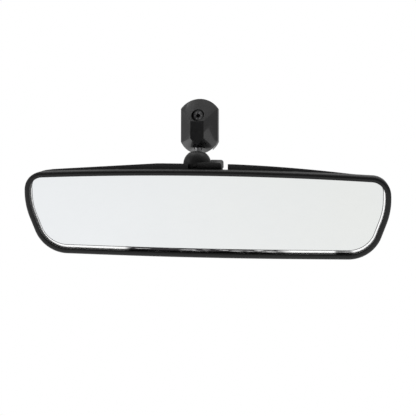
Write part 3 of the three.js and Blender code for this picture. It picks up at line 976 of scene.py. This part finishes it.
class MIRROR_OT_bezel(bpy.types.Operator):
    """Build the bezel round the glass"""

    bl_idname = "mirror.bezel"
    bl_label = "Front bezel"

    def profile(self, sizes):
        """Inset and depth of the bezel's section, in millimetres, from the lip round its outside."""
        lip, depth = sizes.lip / MM, sizes.bezel_depth / MM
        wall, lip_depth, draft = sizes.wall / MM, sizes.lip_depth / MM, sizes.draft / MM
        section = [(lip, lip_depth)]
        inner, outer, rear = 0.8, 2.3, 0.35
        section += [(x, y) for x, y in arc((lip - inner, inner + 0.1), inner, 0, -80, 6)]
        section += [(x, y) for x, y in arc((outer, outer), outer, -97, -180, 12)]
        run = depth - rear - outer
        section += [(draft * share**1.3, outer + run * share) for share in (0.3, 0.6, 1)]
        section += [(draft + x, depth - rear + y) for x, y in arc((rear, 0), rear, 150, 90, 3)]
        section += [(wall - 0.1, depth), (wall, depth - 0.1)]
        section += [(wall, lip_depth + 0.3), (wall + 0.3, lip_depth)]
        return section

    def hook(self, x, low, high, bridge_low, bridge_high, back):
        left, right, front = x - HOOK_HALF, x + HOOK_HALF, HOOK_FRONT
        catch = slab("catch", (left, front, low), (right, back, high), 0.3, HEAD)
        bridge = slab("bridge", (left, front, bridge_low), (right, 10.5, bridge_high), 0.2, HEAD)
        return [catch, bridge]

    def execute(self, context):
        sizes = context.scene.mirror_case
        finishes = context.scene.mirror_finishes
        rings = [ring_at(HEAD_CORNERS, inset, depth) for inset, depth in self.profile(sizes)]
        bezel = placed("bezel", loft(rings, around=True), HEAD)
        hooks = []
        for x in (-HOOK_X, HOOK_X):
            hooks += self.hook(x, 25.4, 26.8, 25.6, 29.4, 15)
            hooks += self.hook(x, -26.4, -25.2, -29.6, -25.4, 12)
        join(bezel, *hooks)
        smooth(bezel, 40)
        black = moulded_plastic("bezel_plastic", finishes.bezel_black, 0.4, 0.45, 0.018)
        settle(bezel, "head", "bezel_plastic", [black], "front_bezel")
        return {"FINISHED"}


class MIRROR_OT_housing(bpy.types.Operator):
    """Build the rear housing with its notch and window"""

    bl_idname = "mirror.housing"
    bl_label = "Rear housing"

    def raised(self, point, wall):
        """A point of the rim's outline, lifted to the crest where that is higher."""
        side = LEFT_CREST if point.x < 0 else RIGHT_CREST
        away = abs(point.x) / MM
        beyond = max(0, away - side["level"])
        crest = (CREST_TOP - wall - side["fall"] * beyond - side["droop"] * beyond**2) * MM
        if point.y < 20 * MM or crest < point.y:
            return point
        fade = min(1, max(0, (CREST_END - away) / CREST_FADE))
        return Vector((point.x, point.y + (crest - point.y) * fade))

    def skin(self, wall, depths):
        """Rings from the rim to the back, moved inwards by the wall."""
        rim = [(1.2, depths[0] + 0.3), (1.2, depths[0] + 0.9), (1.4, depths[0] + 1.3)]
        rings = [ring_at(HEAD_CORNERS, inset + wall, depth) for inset, depth in rim]
        foot = outline(HEAD_CORNERS, 1.9 + wall)
        edge = [self.raised(point, wall) for point in foot]
        back = outline(BACK_CORNERS, wall)
        start, end = depths[1], depths[2]
        for share, depth in ((0.12, start - 1.0), (0.5, start - 0.7), (0.85, start - 0.4)):
            rings.append(
                [
                    Vector((low.x, depth * MM, low.y + (high.y - low.y) * share))
                    for low, high in zip(foot, edge)
                ]
            )
        steps = 14
        for i in range(steps + 1):
            share = i / steps
            depth = start + (end - start) * share + 0.7 * math.sin(math.pi * share)
            rings.append(
                [
                    Vector((a.x + (b.x - a.x) * share, depth * MM, a.y + (b.y - a.y) * share))
                    for a, b in zip(edge, back)
                ]
            )
        for inset, beyond in ((0.4, 0.8), (1.2, 1.5), (2.5, 1.9), (4.2, 2.0)):
            rings.append(ring_at(BACK_CORNERS, inset + wall, end + beyond))
        return rings

    def opening(self, name, across, front, bottom):
        left, right = across
        return slab(name, (left, front, bottom), (right, FAR, FAR), 0.0, HEAD)

    def execute(self, context):
        sizes = context.scene.mirror_case
        finishes = context.scene.mirror_finishes
        front, back, wall = (
            sizes.housing_front / MM,
            sizes.housing_back / MM,
            sizes.housing_wall / MM,
        )
        outer = self.skin(0.0, (front, 13.1, back - 2.0))
        outer.insert(0, ring_at(HEAD_CORNERS, 1.5, front))
        inner = self.skin(wall, (front, 14.3, back - 2.0 - wall))
        inner.insert(0, ring_at(HEAD_CORNERS, 1.2 + wall, front))
        shell = placed("rear_shell", loft([*reversed(outer), *inner]), HEAD)
        lugs = []
        for side in (-1, 1):
            low, high = sorted(side * x for x in LUG_X)
            lug = slab("lug", (low, LUG_FRONT, LUG_LOW), (high, LUG_BACK, LUG_TOP), 0.0, HEAD)
            hole_x, hole_z = side * RETAINER_HOLE["x"], RETAINER_HOLE["z"]
            slot_low, slot_top = LUG_SLOT
            cut(
                lug,
                bar_across(HINGE_BORE, low - 1, high + 1, HINGE_AT, 32),
                slab("slot", (low - 1, 0, slot_low), (high + 1, HINGE_AT[0], slot_top), 0.0, HEAD),
                bar(RETAINER_HOLE["radius"], (hole_x, 11, hole_z), (hole_x, 19, hole_z), HEAD, 32),
            )
            lugs.append(lug)
            left, right = side * POST_X - POST_HALF, side * POST_X + POST_HALF
            front_end, back_end = POST_SPAN
            post = slab(
                "post", (left, front_end, -POST_HEIGHT), (right, back_end, POST_HEIGHT), 0.0, HEAD
            )
            lugs.append(post)
        join(shell, *lugs)
        cut(
            shell,
            self.opening("notch", NOTCH_X, NOTCH_FRONT, NOTCH_LOW),
            self.opening("window", WINDOW_X, WINDOW_FRONT, WINDOW_LOW),
        )
        round_edges(shell, 0.9 * MM, 38, 4)
        grey = moulded_plastic("housing_plastic", finishes.housing_grey, 0.58, 0.55, 0.05)
        settle(shell, "head", "housing_plastic", [grey], "rear_housing")
        return {"FINISHED"}


class MIRROR_OT_glass(bpy.types.Operator):
    """Build the prism glass with its polished edge"""

    bl_idname = "mirror.glass"
    bl_label = "Prism glass"

    @staticmethod
    def band(normal):
        """How far in the silvering starts: not seen along the top, widest along the bottom."""
        side = 5.6
        if normal.y > 0:
            return side + (3.2 - side) * min(1, normal.y * 1.15) ** 1.5
        return side + (6.5 - side) * min(1, -normal.y) ** 2

    def sloping_ring(self, inset, depth):
        """A ring on the glass's back, which leans by the wedge."""
        slope = math.tan(WEDGE)
        return [
            Vector((point.x, depth * MM + slope * point.y, point.y))
            for point in outline(HEAD_CORNERS, inset)
        ]

    def execute(self, context):
        finishes = context.scene.mirror_finishes
        front = GLASS_FRONT
        rings = [
            self.sloping_ring(BEVEL_INSET, GLASS_BACK),
            self.sloping_ring(GLASS_INSET, GLASS_BACK - 0.2),
            ring_at(HEAD_CORNERS, GLASS_INSET, 3.8),
            ring_at(HEAD_CORNERS, GLASS_INSET, 3.1),
            ring_at(HEAD_CORNERS, BEVEL_INSET, front + 0.3),
            ring_at(HEAD_CORNERS, lambda n: self.band(n) - 0.42, front + 0.02),
            ring_at(HEAD_CORNERS, lambda n: self.band(n) - 0.2, front + 0.12),
            ring_at(HEAD_CORNERS, self.band, front),
            ring_at(HEAD_CORNERS, lambda n: self.band(n) + 0.6, front),
        ]
        bm = loft(rings)
        bm.faces.ensure_lookup_table()
        count = len(rings[0])
        for row in (4, 5, 6):
            kind = 1 if row == 4 else 2
            for face in bm.faces[row * count : (row + 1) * count]:
                face.material_index = kind
        glass = placed("prism_mirror", bm, HEAD)
        smooth(glass, 2)
        materials = [silvered_glass(finishes.silver), polished_edge(), edge_line()]
        settle(glass, "head", "mirror_glass", materials, "prism_glass")
        return {"FINISHED"}


class MIRROR_OT_foam_pads(bpy.types.Operator):
    """Build the two foam pads behind the glass"""

    bl_idname = "mirror.foam_pads"
    bl_label = "Foam pads"

    def execute(self, context):
        foam = closed_cell_foam()
        for side, label in ((-1, "left"), (1, "right")):
            left, right = side * PAD_X - PAD_HALF_WIDTH, side * PAD_X + PAD_HALF_WIDTH
            front, back = PAD_SPAN
            low, high = (left, front, -PAD_HALF_HEIGHT), (right, back, PAD_HALF_HEIGHT)
            pad = slab(f"foam_block_{label}", low, high, 0.8, HEAD)
            step = pad.modifiers.new("crown", "SUBSURF")
            step.levels = step.render_levels = 2
            apply_modifiers(pad)
            smooth(pad, 60)
            settle(pad, "head", "foam", [foam], f"foam_pad_{label}")
        return {"FINISHED"}


class MIRROR_OT_inner_pieces(bpy.types.Operator):
    """Give the carried-over inner pieces their materials"""

    bl_idname = "mirror.inner_pieces"
    bl_label = "Inner pieces"

    def execute(self, context):
        finishes = context.scene.mirror_finishes
        steel = plated_steel("inner_steel", finishes.steel, "X")
        spring = plated_steel("spring_strip", shade(finishes.steel, 0.8), "Z", 0.35)
        nylon = natural_nylon()
        black = moulded_plastic("retainer_plastic", finishes.socket_black, 0.45, 0.5, 0.02)
        given = {
            "hinge_pin": steel,
            "retainer_screw_left": steel,
            "retainer_screw_right": steel,
            "spring_rivet": steel,
            "detent_spring": spring,
            "ball_seat_front": nylon,
            "ball_seat_rear": nylon,
            "pin_retainer_left": black,
            "pin_retainer_right": black,
            "silver_backing_film": backing_film(),
        }
        for name, material in given.items():
            node = frame["nodes"][name]
            node.data.materials.clear()
            node.data.materials.append(material)
        return {"FINISHED"}


class MIRROR_OT_stage(bpy.types.Operator):
    """Set the floor, the lights and the camera"""

    bl_idname = "mirror.stage"
    bl_label = "Stage"

    def floor(self, level):
        bm = bmesh.new()
        bmesh.ops.create_circle(bm, cap_ends=True, segments=96, radius=2.4)
        floor = placed("studio_floor", bm, Matrix.Translation((0, 0, level)))
        finish = Finish("pale_paper", Roughness=0.8)
        fibre = finish.noise(60, 4)
        finish.surface(
            Base_Color=finish.mix(fibre, (0.86, 0.86, 0.86), (0.9, 0.9, 0.9)),
            Emission_Color=(1, 1, 1),
            Emission_Strength=0.58,
            Normal=finish.bump(fibre, 0.05 * MM),
        )
        floor.data.materials.append(finish.material)

    def light(self, name, place, aim, size, power):
        data = bpy.data.lights.new(name, "AREA")
        data.shape = "RECTANGLE"
        data.size, data.size_y = size
        data.energy = power
        lamp = bpy.data.objects.new(name, data)
        bpy.context.scene.collection.objects.link(lamp)
        place, aim = Vector(place), Vector(aim)
        lamp.location = place
        lamp.rotation_euler = (aim - place).to_track_quat("-Z", "Y").to_euler()
        lamp.visible_camera = False

    def world(self, scene):
        """White behind the mirror, and a soft room round it: bright above, dim in front."""
        world = bpy.data.worlds.new("studio")
        scene.world = world
        room = Tree(world)
        way = room.node("ShaderNodeTexCoord", output="Generated")
        rise = room.part(way, "Z").smooth_step(-0.1, 0.9)
        behind = room.part(way, "Y").smooth_step(-0.7, 0.6)
        light = 0.06 + behind * 0.3 + rise * 0.3
        path = room.node("ShaderNodeLightPath", output="Is Camera Ray")
        white = room.node("ShaderNodeBackground", None, {"Color": (1, 1, 1), "Strength": 1.0})
        soft = room.node("ShaderNodeBackground", None, {"Color": (1, 1, 1), "Strength": light})
        shown = room.node("ShaderNodeMixShader", None, {0: path, 1: soft, 2: white})
        room.node("ShaderNodeOutputWorld", None, {"Surface": shown}, None)

    def execute(self, context):
        scene = context.scene
        stage = scene.mirror_stage
        low = CAD_BOX[0]
        self.floor(low.z - stage.floor_drop + 0.1)
        self.world(scene)
        self.light("top_box", (0, 0.1, 0.75), (0, -0.02, -0.05), (1.1, 0.5), 2.4)
        self.light("left_box", (-0.9, -0.35, 0.15), (0, -0.02, -0.05), (0.5, 0.9), 1.6)
        self.light("right_box", (0.95, -0.2, 0.2), (0, -0.02, -0.05), (0.35, 0.7), 0.3)
        camera = bpy.data.objects.new("camera", bpy.data.cameras.new("camera"))
        scene.collection.objects.link(camera)
        a, e = stage.azimuth, stage.elevation
        away = Vector((math.sin(a) * math.cos(e), -math.cos(a) * math.cos(e), math.sin(e)))
        turn = (-away).to_track_quat("-Z", "Y")
        rise = turn @ Vector((2.5, 4.7, 0)) * MM
        camera.location = HEAD.translation + rise + away * stage.distance
        camera.rotation_mode = "QUATERNION"
        camera.rotation_quaternion = turn
        camera.data.lens = stage.lens
        camera.data.clip_start = 0.01
        scene.camera = camera
        scene.view_settings.view_transform = "Standard"
        return {"FINISHED"}


class MIRROR_PT_pieces(bpy.types.Panel):
    """Lists the pieces of the mirror and the stage"""

    bl_idname = "MIRROR_PT_pieces"
    bl_label = "Rearview Mirror"
    bl_space_type = "VIEW_3D"
    bl_region_type = "UI"
    bl_category = "Mirror"

    def draw(self, context):
        column = self.layout.column()
        for operator in PIECES:
            column.operator(operator.bl_idname)
        for group in ("mirror_mount", "mirror_case", "mirror_socket", "mirror_finishes", "mirror_stage"):
            settings = getattr(context.scene, group)
            for name in settings.bl_rna.properties.keys():
                if name not in ("rna_type", "name"):
                    column.prop(settings, name)


PIECES = (
    MIRROR_OT_stage,
    MIRROR_OT_mount,
    MIRROR_OT_set_screw,
    MIRROR_OT_ball_stud,
    MIRROR_OT_socket,
    MIRROR_OT_lever,
    MIRROR_OT_bezel,
    MIRROR_OT_housing,
    MIRROR_OT_glass,
    MIRROR_OT_foam_pads,
    MIRROR_OT_inner_pieces,
)
GROUPS = {
    "mirror_mount": MirrorMountSizes,
    "mirror_case": MirrorCaseSizes,
    "mirror_socket": MirrorSocketSizes,
    "mirror_finishes": MirrorFinishes,
    "mirror_stage": MirrorStage,
}


def register():
    for cls in (*GROUPS.values(), *PIECES, MIRROR_PT_pieces):
        bpy.utils.register_class(cls)
    for name, group in GROUPS.items():
        setattr(bpy.types.Scene, name, PointerProperty(type=group))


def unregister():
    for name in GROUPS:
        delattr(bpy.types.Scene, name)
    for cls in reversed((*GROUPS.values(), *PIECES, MIRROR_PT_pieces)):
        bpy.utils.unregister_class(cls)


def main():
    register()
    for operator in PIECES:
        family, name = operator.bl_idname.split(".")
        getattr(getattr(bpy.ops, family), name)()


if __name__ == "__main__":
    main()
